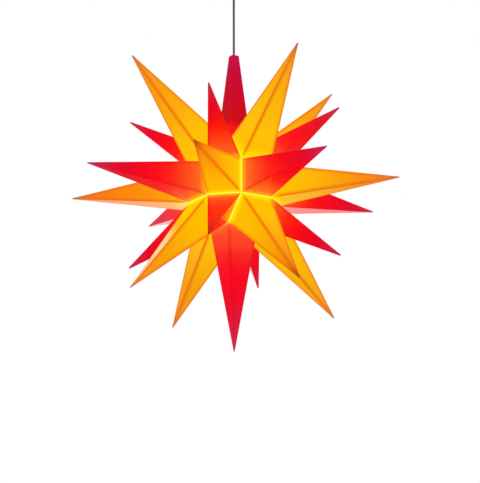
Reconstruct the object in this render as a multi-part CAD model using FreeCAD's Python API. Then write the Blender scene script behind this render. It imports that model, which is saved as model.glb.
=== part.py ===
"""A hanging star lamp: 25 hollow plastic points clipped round a lamp, on a thin cord from a small ceiling rose.

Millimetres, +Z up. The origin is the middle of the rose's mounting face, where it meets the ceiling, and
everything hangs below it. The star's own centre lies STAR_DROP under the origin, and heights whose comment
says "above the centre" are measured from there.
"""

import FreeCAD
import Part
import math
import os

Vector = FreeCAD.Vector
os.makedirs("parts", exist_ok=True)

# ---------------------------------------------------------------- the star as a whole
STAR_DROP = 282.0  # from the ceiling down to the star's centre
LONG_REACH = 200.0  # centre to the tip of a four-sided point
SHORT_REACH = 157.5  # centre to the tip of a three-sided point
CORE_EDGE = 41.2  # edge of the 26-sided core on which the points stand
POINT_WALL = 1.0  # wall of a moulded point
TIP_HALF = 0.6  # half width of the blunt end of a point
FLANGE_DEPTH = 7.5  # how far a flange folds in from the core's edge
SEAM_GAP = 0.3  # between the flanges of two neighbours

# ---------------------------------------------------------------- the clips that join the flanges
WINDOW_LENGTH = 9.8  # opening in a flange, along the seam
WINDOW_DEPTH = 1.9  # opening in a flange, across it
WINDOW_SETBACK = 2.9  # from the flange's inner end to the opening
CLIP_END_ROOM = 0.4  # between a clip's end and the opening's
CLIP_WALL = 0.9
CLIP_CLEARANCE = 0.1  # between a clip and a flange
CLIP_REACH = 6.0  # how far the legs run out along the flanges
BARB_DEPTH = 0.7  # how far a leg's barb stands into the opening

# ---------------------------------------------------------------- the point that carries the cord
CARRIER_TOP = 165.4  # its flat top end, above the centre
CARRIER_TOP_HALF = 4.4  # half width of that end
CARRIER_KNEE_RISE = 6.0  # from the holder's split up to where the wide foot starts
CARRIER_ROOM = 1.6  # round the holder's shoulder
CARRIER_ROOF = 1.2  # thickness of the top end
LEDGE_LENGTH = 6.0  # the four lugs under the lamp bracket
LEDGE_DEPTH = 2.2
LEDGE_HEIGHT = 1.6

# ---------------------------------------------------------------- cord
CORD_RADIUS = 1.4
CORD_CLEARANCE = 0.3  # round a cord in a plain hole
GRIP_CLEARANCE = 0.05  # round a cord that is squeezed
CLAMP_ROOM = 0.4  # between the cord clamp and the carrier's wall
CLAMP_LENGTH = 9.0
FACE_GAP = 0.3  # between end faces that move on each other

# ---------------------------------------------------------------- lampholder, for a small screw cap
HOLDER_RADIUS = 13.0
HOLDER_WALL = 1.6
HOLDER_MOUTH = 26.0  # lower rim, above the centre
HOLDER_SPLIT_RISE = 3.4  # from the core's top up to where the cap meets the skirt
HOLDER_SHOULDER_RISE = 12.0
HOLDER_SHOULDER_RADIUS = 11.6
HOLDER_CROWN_RISE = 6.0
HOLDER_CROWN_RADIUS = 8.0
STUD_RADIUS = 5.0
STUD_SPARE = 4.5  # stud above its nut
STUD_CLEARANCE = 0.1
BRACKET_RISE = 4.0  # from the holder's crown up to the lamp bracket
BRACKET_THICKNESS = 1.5
BRACKET_CLEARANCE = 0.25  # between the bracket's edge and the point's wall
NUT_HALF = 6.5  # half the distance across a nut's flats
NUT_HEIGHT = 3.0
THREAD_CLEARANCE = 0.35  # between the lamp's cap and the socket's sleeve
SLEEVE_WALL = 0.4
SLEEVE_SETBACK = 2.5  # from the holder's mouth up to the sleeve
CORE_CLEARANCE = 0.1
SOCKET_ROOF = 3.0
CONTACT_RADIUS = 2.6
CONTACT_THICKNESS = 0.8
CONTACT_RISE = 1.2

# ---------------------------------------------------------------- lamp
CAP_RADIUS = 6.7
CAP_SETBACK = 0.8  # from the holder's mouth up to the cap
CAP_LENGTH = 18.2
CAP_WALL = 0.4
PIP_RADIUS = 2.4  # the contact at the cap's end
PIP_HEIGHT = 1.5
INSULATOR_HEIGHT = 1.4
GLASS_RADIUS = 13.0
GLASS_NECK_LENGTH = 5.0
GLASS_NECK_INSERT = 3.2  # neck inside the cap
GLASS_SHOULDER_DROP = 11.0
GLASS_BODY_LENGTH = 13.5
GLASS_END_DEPTH = 13.0  # of the rounded end
GLASS_END_RADIUS = 5.0  # of its flat middle
GLASS_END_KNEE = 0.55  # share of the end's depth at which its slope changes
GLASS_WALL = 0.8
STEM_RADIUS = 1.5
STEM_LENGTH = 14.0
STEM_FOOT = 3.0  # height of its wide foot
FILAMENT_RADIUS = 0.8
FILAMENT_LENGTH = 18.0
FILAMENT_SPREAD = 4.5
FILAMENT_COUNT = 4

# ---------------------------------------------------------------- ceiling rose
ROSE_RADIUS = 40.0
ROSE_HEIGHT = 26.0
ROSE_WALL = 1.2
ROSE_CORNER = 5.0  # the sloping corner at its lower edge
ROSE_RIM_GAP = 0.5  # between its rim and the ceiling
STRAP_WIDTH = 16.0
STRAP_THICKNESS = 1.5
STRAP_ROOM = 1.8  # between an ear and the cup's wall
EAR_DROP = 15.0
CEILING_HOLE_RADIUS = 2.25
CEILING_HOLE_SPACING = 50.0
SIDE_SCREW_LEVEL = 9.0  # below the ceiling
SIDE_SCREW_RADIUS = 1.45
SIDE_SCREW_CLEARANCE = 0.3
SIDE_HEAD_RADIUS = 3.2
SIDE_HEAD_HEIGHT = 2.4
SIDE_NUT_HALF = 2.8
SIDE_NUT_THICKNESS = 2.0
GRIP_STEM_RADIUS = 5.0
GRIP_STEM_RISE = 5.1  # above the rose's floor
GRIP_COLLAR_RADIUS = 8.0
GRIP_COLLAR_HEIGHT = 3.0
GRIP_NOSE_RADIUS = 4.6
GRIP_NOSE_LENGTH = 9.5
GRIP_MOUTH_RADIUS = 3.2
GRIP_MOUTH_DEPTH = 3.2
SWING_RISE = 1.5  # from the grip's lower end up to the pivot of the cord
ROSE_NUT_HALF = 7.5
ROSE_NUT_HEIGHT = 3.5
LEAD_BEND = 7.0  # radius of the lead's bend inside the rose
LEAD_RISE = 0.4  # straight part above the grip's stem
BLOCK_SETBACK = 7.0  # from the lead's bend to the terminal block
BLOCK_ROOM = 2.0  # between the block and the cup's sloping corner
BLOCK_WIDTH = 20.0
BLOCK_COVER = 3.5  # of the block above the lead
BLOCK_POCKET = 4.0
TERMINAL_SCREW_RADIUS = 2.0
TERMINAL_SCREW_HEIGHT = 1.2

# ---------------------------------------------------------------- worked out from those
CENTRE = Vector(0, 0, -STAR_DROP)
UP = Vector(0, 0, 1)
OVERRUN = 2.0  # how far a cutting solid runs past what it cuts
SQUARE_DISTANCE = CORE_EDGE * (1 + math.sqrt(2)) / 2  # centre to a square of the core
TRIANGLE_DISTANCE = CORE_EDGE * (3 + math.sqrt(2)) / (2 * math.sqrt(3))
SEAM_DISTANCE = CORE_EDGE * math.sqrt(4 + 2 * math.sqrt(2)) / 2  # centre to the middle of a core edge
FLANGE_SHARE = 1 - FLANGE_DEPTH / SEAM_DISTANCE  # inner end of a flange, as a share of the core's size
FLANGE_END = SEAM_DISTANCE - FLANGE_DEPTH
FLOOR_TOP = -ROSE_HEIGHT + ROSE_WALL
GRIP_END = -ROSE_HEIGHT - GRIP_COLLAR_HEIGHT - GRIP_NOSE_LENGTH
SWING_PIVOT = GRIP_END + SWING_RISE
LEAD_BEND_LOW = FLOOR_TOP + GRIP_STEM_RISE + LEAD_RISE
LEAD_LEVEL = LEAD_BEND_LOW + LEAD_BEND
BLOCK_START = LEAD_BEND + BLOCK_SETBACK
BLOCK_LENGTH = math.sqrt((ROSE_RADIUS - ROSE_CORNER - ROSE_WALL)**2 - (BLOCK_WIDTH / 2)**2) - BLOCK_START - BLOCK_ROOM
BLOCK_HEIGHT = LEAD_LEVEL - FLOOR_TOP + BLOCK_COVER
STRAP_LENGTH = 2 * (ROSE_RADIUS - ROSE_WALL - STRAP_ROOM)
CLIP_LENGTH = WINDOW_LENGTH - 2 * CLIP_END_ROOM

# heights above the centre, up the lamp and its holder
CAP_FOOT = HOLDER_MOUTH + CAP_SETBACK
CAP_TOP = CAP_FOOT + CAP_LENGTH
SLEEVE_FOOT = HOLDER_MOUTH + SLEEVE_SETBACK
SLEEVE_BORE = CAP_RADIUS + THREAD_CLEARANCE
CONTACT_LOW = CAP_TOP + PIP_HEIGHT + FACE_GAP
CORE_ROOF = CONTACT_LOW + CONTACT_THICKNESS
CORE_TOP = CORE_ROOF + SOCKET_ROOF
HOLDER_SPLIT = CORE_TOP + HOLDER_SPLIT_RISE
HOLDER_SHOULDER = HOLDER_SPLIT + HOLDER_SHOULDER_RISE
HOLDER_CROWN = HOLDER_SHOULDER + HOLDER_CROWN_RISE
BRACKET_LEVEL = HOLDER_CROWN + BRACKET_RISE
STUD_TOP = BRACKET_LEVEL + BRACKET_THICKNESS + NUT_HEIGHT + STUD_SPARE
GLASS_NECK_RADIUS = CAP_RADIUS - CAP_WALL - CORE_CLEARANCE
GLASS_NECK_TOP = CAP_FOOT + GLASS_NECK_INSERT
GLASS_SHOULDER = GLASS_NECK_TOP - GLASS_NECK_LENGTH - GLASS_SHOULDER_DROP
GLASS_BELLY = GLASS_SHOULDER - GLASS_BODY_LENGTH
CARRIER_KNEE = HOLDER_SPLIT + CARRIER_KNEE_RISE
CARRIER_KNEE_HALF = HOLDER_SHOULDER_RADIUS + CARRIER_ROOM + POINT_WALL


def save(name, shape):
    """Write one sub-part under its own name."""
    shape.exportStep("parts/" + name + ".step")


def above_centre(height):
    """Height in the lamp's frame for a height above the star's centre."""
    return height - STAR_DROP


def group(shapes):
    """Several separate solids that share one name."""
    return Part.makeCompound(shapes)


# ---------------------------------------------------------------- round pieces
def turned(outline):
    """A solid of revolution about the Z axis from (radius, height) corners."""
    corners = [Vector(radius, 0, height) for radius, height in outline]
    face = Part.Face(Part.makePolygon(corners + corners[:1]))
    return face.revolve(Vector(0, 0, 0), UP, 360)


def tube(outer, inner, low, high):
    """A plain ring between two heights."""
    return turned([(inner, low), (outer, low), (outer, high), (inner, high)])


def rod(radius, low, high):
    """A plain round rod on the Z axis."""
    return Part.makeCylinder(radius, high - low, Vector(0, 0, low), UP)


def hex_nut(half_width, bore, low, height):
    """A six-sided nut on the Z axis."""
    reach = half_width / math.cos(math.pi / 6)
    turns = [i * math.pi / 3 for i in range(7)]
    corners = [Vector(reach * math.cos(t), reach * math.sin(t), low) for t in turns]
    nut = Part.Face(Part.makePolygon(corners)).extrude(Vector(0, 0, height))
    return nut.cut(rod(bore, low - OVERRUN, low + height + OVERRUN))


# ---------------------------------------------------------------- hollow pyramids
def corner_angles(sides):
    """Directions of a ring's corners, with a corner at the top of a triangle and a flat at the top of a square."""
    start = math.pi / 2 + (math.pi / sides if sides == 4 else 0)
    return [start + 2 * math.pi * i / sides for i in range(sides)]


def ring(sides, distance, inradius):
    """Corners of a regular ring, square to the Z axis."""
    reach = inradius / math.cos(math.pi / sides)
    return [Vector(reach * math.cos(t), reach * math.sin(t), distance) for t in corner_angles(sides)]


def flat_face(corners):
    return Part.Face(Part.makePolygon(corners + corners[:1]))


def stacked(sides, profile):
    """A solid with flat sides through rings of (distance, inradius). A last inradius of 0 makes an apex."""
    closed_tip = profile[-1][1] < 1e-9
    rings = [ring(sides, distance, inradius) for distance, inradius in profile]
    faces = [flat_face(rings[0])]
    for level, (low, high) in enumerate(zip(rings, rings[1:])):
        to_apex = closed_tip and level == len(rings) - 2
        for i in range(sides):
            after = (i + 1) % sides
            corners = [low[i], low[after], high[0]] if to_apex else [low[i], low[after], high[after], high[i]]
            faces.append(flat_face(corners))
    if not closed_tip:
        faces.append(flat_face(rings[-1]))
    solid = Part.makeSolid(Part.makeShell(faces))
    solid.fix(1e-7, 1e-7, 1e-7)
    if solid.Volume < 0:
        solid.reverse()
    return solid


def side_line(start, end, depth):
    """The straight side from start to end, moved depth towards the axis, as its slope and its foot."""
    slope = (end[1] - start[1]) / (end[0] - start[0])
    return slope, start[1] - slope * start[0] - depth * math.hypot(1, slope)


def radius_on(line, distance):
    return line[0] * distance + line[1]


def crossing(one, other):
    distance = (other[1] - one[1]) / (one[0] - other[0])
    return distance, radius_on(one, distance)


def wall_profile(corners, depths, first, last):
    """The outline with each side moved in by its depth, from distance first to distance last or to its apex."""
    lines = [side_line(a, b, depth) for a, b, depth in zip(corners, corners[1:], depths)]
    found = [(first, radius_on(lines[0], first))]
    found += [crossing(one, other) for one, other in zip(lines, lines[1:])]
    end = (last, radius_on(lines[-1], last))
    if end[1] <= 0:
        end = (-lines[-1][1] / lines[-1][0], 0.0)
    return found + [end]


def flange_window(sides, side, distance, inradius):
    """The block that cuts one clip opening through the flange of one side."""
    angle = corner_angles(sides)[side] + math.pi / sides
    outward = Vector(math.cos(angle), math.sin(angle), 0)
    along = Vector(-math.sin(angle), math.cos(angle), 0)
    reach = (outward * inradius + UP * distance).normalize()
    across = along.cross(reach)
    thickness = 2 * (POINT_WALL + SEAM_GAP)
    near = FLANGE_END + WINDOW_SETBACK
    corner = reach * near - along * (WINDOW_LENGTH / 2) - across * (thickness + POINT_WALL) / 2
    block = flat_face([
        corner,
        corner + along * WINDOW_LENGTH,
        corner + along * WINDOW_LENGTH + reach * WINDOW_DEPTH,
        corner + reach * WINDOW_DEPTH,
    ])
    return block.extrude(across * (thickness + POINT_WALL))


def hollow_point(sides, distance, inradius, corners, last, roof):
    """One moulded point along +Z: thin walls, flanges folded in to the star's centre, an opening in each."""
    outline = [(0.0, 0.0), (distance, inradius)] + corners
    half_gap = SEAM_GAP / 2
    outer_depths = [half_gap] + [0.0] * len(corners)
    inner_depths = [half_gap + POINT_WALL] + [POINT_WALL] * len(corners)
    first = distance * FLANGE_SHARE
    outer = stacked(sides, wall_profile(outline, outer_depths, first, last))
    inner = stacked(sides, wall_profile(outline, inner_depths, first - OVERRUN, last - roof))
    shell = outer.cut(inner)
    windows = [flange_window(sides, side, distance, inradius) for side in range(sides)]
    return shell.cut(group(windows))


def plain_point(sides):
    """A four-sided or three-sided point, closed at its tip."""
    reach = LONG_REACH if sides == 4 else SHORT_REACH
    distance = SQUARE_DISTANCE if sides == 4 else TRIANGLE_DISTANCE
    inradius = CORE_EDGE / 2 / math.tan(math.pi / sides)
    return hollow_point(sides, distance, inradius, [(reach, TIP_HALF)], reach, 0.0)


# ---------------------------------------------------------------- placing on the star
def aimed(shape, axis, top):
    """A piece made along +Z about the origin, turned to run along axis from the star's centre."""
    forward = Vector(axis).normalize()
    side = Vector(top).cross(forward).normalize()
    upward = forward.cross(side)
    turn = FreeCAD.Matrix(
        side.x, upward.x, forward.x, CENTRE.x,
        side.y, upward.y, forward.y, CENTRE.y,
        side.z, upward.z, forward.z, CENTRE.z,
        0, 0, 0, 1,
    )
    placed = shape.copy()
    placed.Placement = FreeCAD.Placement(turn)
    return placed


SIDES_ROUND = {"right": (1, 0), "back": (0, 1), "left": (-1, 0), "front": (0, -1)}
CORNERS_ROUND = {"front_right": (1, -1), "back_right": (1, 1), "back_left": (-1, 1), "front_left": (-1, -1)}


def four_sided_axes():
    """Name and direction of each four-sided point, apart from the one at the top."""
    axes = {"red_point_bottom": (0, 0, -1)}
    for place, (x, y) in SIDES_ROUND.items():
        axes["red_point_" + place] = (x, y, 0)
        axes["yellow_point_upper_" + place] = (x, y, 1)
        axes["yellow_point_lower_" + place] = (x, y, -1)
    for place, (x, y) in CORNERS_ROUND.items():
        axes["yellow_point_" + place] = (x, y, 0)
    return axes


def build_points():
    """The 25 points: 17 with four sides and 8 with three."""
    long_point = plain_point(4)
    for name, axis in four_sided_axes().items():
        top = UP if axis[0] or axis[1] else Vector(0, 1, 0)
        save(name, aimed(long_point, Vector(*axis), top))
    short_point = plain_point(3)
    for place, (x, y) in CORNERS_ROUND.items():
        save("small_point_upper_" + place, aimed(short_point, Vector(x, y, 1), UP))
        save("small_point_lower_" + place, aimed(short_point, Vector(x, y, -1), -UP))


# ---------------------------------------------------------------- seam clips
def seam_clip():
    """A bent spring clip, its web towards the star's centre (0, 0, -), its legs over two flanges.

    X runs along the seam, Y across it and Z outwards from the star's centre.
    """
    slope = CORE_EDGE / 2 / SQUARE_DISTANCE  # lean of a flange to its point's axis
    inner = SEAM_GAP / 2 + POINT_WALL + CLIP_CLEARANCE
    outer = inner + CLIP_WALL
    web_top = FLANGE_END - POINT_WALL * slope - 2 * CLIP_CLEARANCE
    web_low = web_top - CLIP_WALL
    leg_end = FLANGE_END + CLIP_REACH
    barb_low = FLANGE_END + WINDOW_SETBACK + 2 * CLIP_CLEARANCE
    barb_high = FLANGE_END + WINDOW_SETBACK + WINDOW_DEPTH - 2 * CLIP_CLEARANCE
    barb = inner - BARB_DEPTH
    half = [
        (inner, web_top),
        (inner, barb_low),
        (barb, barb_low),
        (inner, barb_high),
        (inner, leg_end - CLIP_WALL),
        (outer, leg_end),
        (outer, web_low),
    ]
    outline = half + [(-across, out) for across, out in reversed(half)]
    start = -CLIP_LENGTH / 2
    face = flat_face([Vector(start, across, out) for across, out in outline])
    return face.extrude(Vector(CLIP_LENGTH, 0, 0))


def core_corners():
    """The core's 24 corners, from the star's centre."""
    near = CORE_EDGE / 2
    far = SQUARE_DISTANCE
    signs = (-1, 1)
    places = [(near, near, far), (near, far, near), (far, near, near)]
    return [Vector(x * i, y * j, z * k) for x, y, z in places for i in signs for j in signs for k in signs]


def seams():
    """Middle and direction of each seam between two of the 25 points."""
    corners = core_corners()
    found = []
    for i, one in enumerate(corners):
        for other in corners[i + 1:]:
            is_edge = abs(one.distanceToPoint(other) - CORE_EDGE) < CORE_EDGE * 0.01
            at_carrier = one.z > SQUARE_DISTANCE * 0.99 and other.z > SQUARE_DISTANCE * 0.99
            if is_edge and not at_carrier:
                found.append(((one + other) * 0.5, (other - one).normalize()))
    return found


def build_clips():
    """One clip on each seam, in three groups by height."""
    clip = seam_clip()
    groups = {"upper": [], "middle": [], "lower": []}
    for middle, along in seams():
        band = "upper" if middle.z > CORE_EDGE / 2 else "lower" if middle.z < -CORE_EDGE / 2 else "middle"
        outward = Vector(middle).normalize()
        groups[band].append(aimed(clip, outward, outward.cross(along)))
    for band, clips in groups.items():
        save("seam_clips_" + band, group(clips))


# ---------------------------------------------------------------- the point that carries the cord
def carrier_half_width(height):
    """Half width of the carrier's outside above its knee."""
    share = (height - CARRIER_KNEE) / (CARRIER_TOP - CARRIER_KNEE)
    return CARRIER_KNEE_HALF + share * (CARRIER_TOP_HALF - CARRIER_KNEE_HALF)


def carrier_slant():
    """Thickness of the leaning wall, measured level, for a wall 1 thick."""
    return math.hypot(1, (CARRIER_KNEE_HALF - CARRIER_TOP_HALF) / (CARRIER_TOP - CARRIER_KNEE))


def carrier_inside(height):
    """Half width of the room inside the carrier above its knee."""
    return carrier_half_width(height) - POINT_WALL * carrier_slant()


def build_carrier():
    """The cut-off red point at the top. It has a wide foot, flanges like the rest, a roof with the cord's hole
    and four lugs under the lamp bracket."""
    corners = [(CARRIER_KNEE, CARRIER_KNEE_HALF), (CARRIER_TOP, CARRIER_TOP_HALF)]
    point = hollow_point(4, SQUARE_DISTANCE, CORE_EDGE / 2, corners, CARRIER_TOP, CARRIER_ROOF)
    hole = rod(CORD_RADIUS + CORD_CLEARANCE, CARRIER_TOP - CARRIER_ROOF - OVERRUN, CARRIER_TOP + OVERRUN)
    point = point.cut(hole)
    lug_top = BRACKET_LEVEL - CORE_CLEARANCE
    wall_inside = carrier_inside(lug_top)
    lug = Part.makeBox(
        LEDGE_DEPTH + POINT_WALL / 2,
        LEDGE_LENGTH,
        LEDGE_HEIGHT,
        Vector(wall_inside - LEDGE_DEPTH, -LEDGE_LENGTH / 2, lug_top - LEDGE_HEIGHT),
    )
    for quarter in range(4):
        turned_lug = lug.copy()
        turned_lug.rotate(Vector(0, 0, 0), UP, 90 * quarter)
        point = point.fuse(turned_lug)
    save("carrier_point", aimed(point.removeSplitter(), UP, Vector(0, 1, 0)))


def build_lamp_bracket():
    """A square plate that the holder's stud hangs from. It sits on the carrier's lugs."""
    half = carrier_inside(BRACKET_LEVEL + BRACKET_THICKNESS) - BRACKET_CLEARANCE
    low = above_centre(BRACKET_LEVEL)
    plate = Part.makeBox(2 * half, 2 * half, BRACKET_THICKNESS, Vector(-half, -half, low))
    hole = rod(STUD_RADIUS + STUD_CLEARANCE, low - OVERRUN, low + BRACKET_THICKNESS + OVERRUN)
    save("lamp_bracket", plate.cut(hole))


# ---------------------------------------------------------------- lampholder
def build_holder():
    """Cap with a threaded stud, skirt, insulating core, metal sleeve and centre contact."""
    z = above_centre
    wall = HOLDER_WALL
    save("holder_cap", turned([
        (HOLDER_SHOULDER_RADIUS, z(HOLDER_SPLIT)),
        (HOLDER_SHOULDER_RADIUS, z(HOLDER_SHOULDER)),
        (HOLDER_CROWN_RADIUS, z(HOLDER_SHOULDER)),
        (HOLDER_CROWN_RADIUS, z(HOLDER_CROWN)),
        (STUD_RADIUS, z(HOLDER_CROWN)),
        (STUD_RADIUS, z(STUD_TOP)),
        (CORD_RADIUS + GRIP_CLEARANCE, z(STUD_TOP)),
        (CORD_RADIUS + GRIP_CLEARANCE, z(HOLDER_CROWN - wall)),
        (HOLDER_CROWN_RADIUS - wall, z(HOLDER_CROWN - wall)),
        (HOLDER_CROWN_RADIUS - wall, z(HOLDER_SHOULDER - wall)),
        (HOLDER_SHOULDER_RADIUS - wall, z(HOLDER_SHOULDER - wall)),
        (HOLDER_SHOULDER_RADIUS - wall, z(HOLDER_SPLIT)),
    ]))
    save("holder_skirt", tube(HOLDER_RADIUS, HOLDER_RADIUS - wall, z(HOLDER_MOUTH), z(HOLDER_SPLIT)))
    sleeve_outer = SLEEVE_BORE + SLEEVE_WALL
    core_outer = HOLDER_RADIUS - wall - CORE_CLEARANCE
    core_inner = sleeve_outer + CORE_CLEARANCE
    save("socket_core", turned([
        (core_inner, z(SLEEVE_FOOT)),
        (core_outer, z(SLEEVE_FOOT)),
        (core_outer, z(CORE_TOP)),
        (CORD_RADIUS + CORD_CLEARANCE, z(CORE_TOP)),
        (CORD_RADIUS + CORD_CLEARANCE, z(CORE_ROOF)),
        (core_inner, z(CORE_ROOF)),
    ]))
    save("socket_sleeve", tube(sleeve_outer, SLEEVE_BORE, z(SLEEVE_FOOT), z(CONTACT_LOW - CONTACT_RISE)))
    save("centre_contact", rod(CONTACT_RADIUS, z(CONTACT_LOW), z(CORE_ROOF)))
    nut_low = z(BRACKET_LEVEL + BRACKET_THICKNESS)
    save("holder_nut", hex_nut(NUT_HALF, STUD_RADIUS + GRIP_CLEARANCE, nut_low, NUT_HEIGHT))


# ---------------------------------------------------------------- lamp
def build_lamp():
    """A small tubular lamp: glass, screw cap, insulator, contact, and filaments on a glass stem."""
    z = above_centre
    save("lamp_cap", turned([
        (CAP_RADIUS, z(CAP_FOOT)),
        (CAP_RADIUS, z(CAP_TOP - INSULATOR_HEIGHT)),
        (CAP_RADIUS - CAP_WALL, z(CAP_TOP - INSULATOR_HEIGHT)),
        (CAP_RADIUS - CAP_WALL, z(CAP_FOOT)),
    ]))
    save("lamp_insulator", turned([
        (0, z(CAP_TOP - INSULATOR_HEIGHT)),
        (CAP_RADIUS, z(CAP_TOP - INSULATOR_HEIGHT)),
        (PIP_RADIUS + CAP_WALL, z(CAP_TOP)),
        (0, z(CAP_TOP)),
    ]))
    save("lamp_contact", turned([
        (0, z(CAP_TOP)),
        (PIP_RADIUS, z(CAP_TOP)),
        (PIP_RADIUS / 2, z(CAP_TOP + PIP_HEIGHT)),
        (0, z(CAP_TOP + PIP_HEIGHT)),
    ]))
    outer = glass_outline(0.0)
    inner = glass_outline(GLASS_WALL)
    save("lamp_glass", turned(outer + list(reversed(inner))))
    stem_top = z(GLASS_NECK_TOP - GLASS_WALL)
    stem_low = stem_top - STEM_LENGTH
    save("lamp_stem", turned([
        (0, stem_low),
        (STEM_RADIUS, stem_low),
        (STEM_RADIUS, stem_top - STEM_FOOT),
        (GLASS_NECK_RADIUS - GLASS_WALL - GRIP_CLEARANCE, stem_top),
        (0, stem_top),
    ]))
    save("lamp_filaments", group(filaments(stem_low)))


def glass_outline(wall):
    """Corners of the glass as (radius, height): neck, shoulder, belly and an end in two slopes."""
    z = above_centre
    knee_radius = GLASS_RADIUS - wall - (GLASS_RADIUS - GLASS_END_RADIUS) * GLASS_END_KNEE / 2
    return [
        (GLASS_NECK_RADIUS - wall, z(GLASS_NECK_TOP)),
        (GLASS_NECK_RADIUS - wall, z(GLASS_NECK_TOP - GLASS_NECK_LENGTH)),
        (GLASS_RADIUS - wall, z(GLASS_SHOULDER)),
        (GLASS_RADIUS - wall, z(GLASS_BELLY)),
        (knee_radius, z(GLASS_BELLY - GLASS_END_DEPTH * GLASS_END_KNEE)),
        (GLASS_END_RADIUS, z(GLASS_BELLY - GLASS_END_DEPTH + wall)),
        (0, z(GLASS_BELLY - GLASS_END_DEPTH + wall)),
    ]


def filaments(stem_low):
    """Thin sticks round the stem, each from its support at the stem's lower end."""
    sticks = []
    for i in range(FILAMENT_COUNT):
        turn = 2 * math.pi * i / FILAMENT_COUNT
        foot = Vector(STEM_RADIUS * math.cos(turn), STEM_RADIUS * math.sin(turn), stem_low)
        tip = Vector(FILAMENT_SPREAD * math.cos(turn), FILAMENT_SPREAD * math.sin(turn), stem_low - FILAMENT_LENGTH)
        axis = tip - foot
        sticks.append(Part.makeCylinder(FILAMENT_RADIUS, axis.Length, foot - UP * FILAMENT_RADIUS, axis))
    return sticks


# ---------------------------------------------------------------- cord
def build_cord():
    """The free cord, its clamp under the carrier's roof, and the lead down to the holder."""
    z = above_centre
    clamp_top = z(CARRIER_TOP - CARRIER_ROOF)
    cord_low = clamp_top + FACE_GAP
    free = rod(CORD_RADIUS, cord_low, SWING_PIVOT)
    top_end = Part.makeSphere(CORD_RADIUS, Vector(0, 0, SWING_PIVOT))
    save("pendant_cord", free.fuse(top_end).removeSplitter())
    clamp_radius = carrier_inside(CARRIER_TOP - CARRIER_ROOF) - CLAMP_ROOM
    save("cord_clamp", tube(clamp_radius, CORD_RADIUS + GRIP_CLEARANCE, clamp_top - CLAMP_LENGTH, clamp_top))
    save("lamp_lead", rod(CORD_RADIUS, z(CORE_TOP + CORE_CLEARANCE), clamp_top))
    print("pendant cord length %.1f, one straight run" % (SWING_PIVOT - cord_low))


def build_rose_lead():
    """The cord's last stretch, up through the grip and round into the terminal block."""
    low = SWING_PIVOT + CORD_RADIUS + FACE_GAP
    end = BLOCK_START + BLOCK_POCKET - FACE_GAP
    start = Vector(0, 0, low)
    bend_start = Vector(0, 0, LEAD_BEND_LOW)
    bend_end = Vector(LEAD_BEND, 0, LEAD_LEVEL)
    middle = Vector(LEAD_BEND * (1 - math.sqrt(0.5)), 0, LEAD_BEND_LOW + LEAD_BEND * math.sqrt(0.5))
    path = Part.Wire([
        Part.LineSegment(start, bend_start).toShape(),
        Part.Arc(bend_start, middle, bend_end).toShape(),
        Part.LineSegment(bend_end, Vector(end, 0, LEAD_LEVEL)).toShape(),
    ])
    section = Part.Wire(Part.Circle(start, UP, CORD_RADIUS).toShape())
    lead = path.makePipeShell([section], True, False)
    print("rose lead bend radius %.1f" % LEAD_BEND)
    print("rose lead volume %.1f, section times length %.1f" % (
        lead.Volume, math.pi * CORD_RADIUS**2 * path.Length))
    save("rose_lead", lead)


# ---------------------------------------------------------------- ceiling rose
def build_rose():
    """The cup that hides the wiring, with a sloping lower corner. The cord grip hangs through its floor."""
    inner_radius = ROSE_RADIUS - ROSE_WALL
    slope = ROSE_CORNER - ROSE_WALL * (2 - math.sqrt(2))
    hole = GRIP_STEM_RADIUS + STUD_CLEARANCE
    cup = turned([
        (hole, -ROSE_HEIGHT),
        (ROSE_RADIUS - ROSE_CORNER, -ROSE_HEIGHT),
        (ROSE_RADIUS, -ROSE_HEIGHT + ROSE_CORNER),
        (ROSE_RADIUS, -ROSE_RIM_GAP),
        (inner_radius, -ROSE_RIM_GAP),
        (inner_radius, FLOOR_TOP + slope),
        (inner_radius - slope, FLOOR_TOP),
        (hole, FLOOR_TOP),
    ])
    hole_radius = SIDE_SCREW_RADIUS + SIDE_SCREW_CLEARANCE
    start = Vector(0, -ROSE_RADIUS - OVERRUN, -SIDE_SCREW_LEVEL)
    both = Part.makeCylinder(hole_radius, 2 * (ROSE_RADIUS + OVERRUN), start, Vector(0, 1, 0))
    save("rose_cup", cup.cut(both))


def ear_slot():
    """An ear's slot. It is open below, so that the cup's loosened screws drop out of it."""
    half = SIDE_SCREW_RADIUS + SIDE_SCREW_CLEARANCE
    length = STRAP_LENGTH + 2 * OVERRUN
    start = -length / 2
    round_end = Part.makeCylinder(half, length, Vector(0, start, -SIDE_SCREW_LEVEL), Vector(0, 1, 0))
    depth = EAR_DROP - SIDE_SCREW_LEVEL + OVERRUN
    straight = Part.makeBox(2 * half, length, depth, Vector(-half, start, -SIDE_SCREW_LEVEL - depth))
    return round_end.fuse(straight)


def build_strap():
    """A bent steel strap with two screw holes and an ear at each end."""
    half = STRAP_LENGTH / 2
    inner = half - STRAP_THICKNESS
    outline = [
        (-half, -EAR_DROP), (-half, 0), (half, 0), (half, -EAR_DROP),
        (inner, -EAR_DROP), (inner, -STRAP_THICKNESS), (-inner, -STRAP_THICKNESS), (-inner, -EAR_DROP),
    ]
    face = flat_face([Vector(-STRAP_WIDTH / 2, y, z) for y, z in outline])
    strap = face.extrude(Vector(STRAP_WIDTH, 0, 0)).cut(ear_slot())
    for sign in (-1, 1):
        place = Vector(0, sign * CEILING_HOLE_SPACING / 2, -STRAP_THICKNESS - OVERRUN)
        strap = strap.cut(Part.makeCylinder(CEILING_HOLE_RADIUS, STRAP_THICKNESS + 2 * OVERRUN, place))
    save("ceiling_strap", strap)


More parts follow.
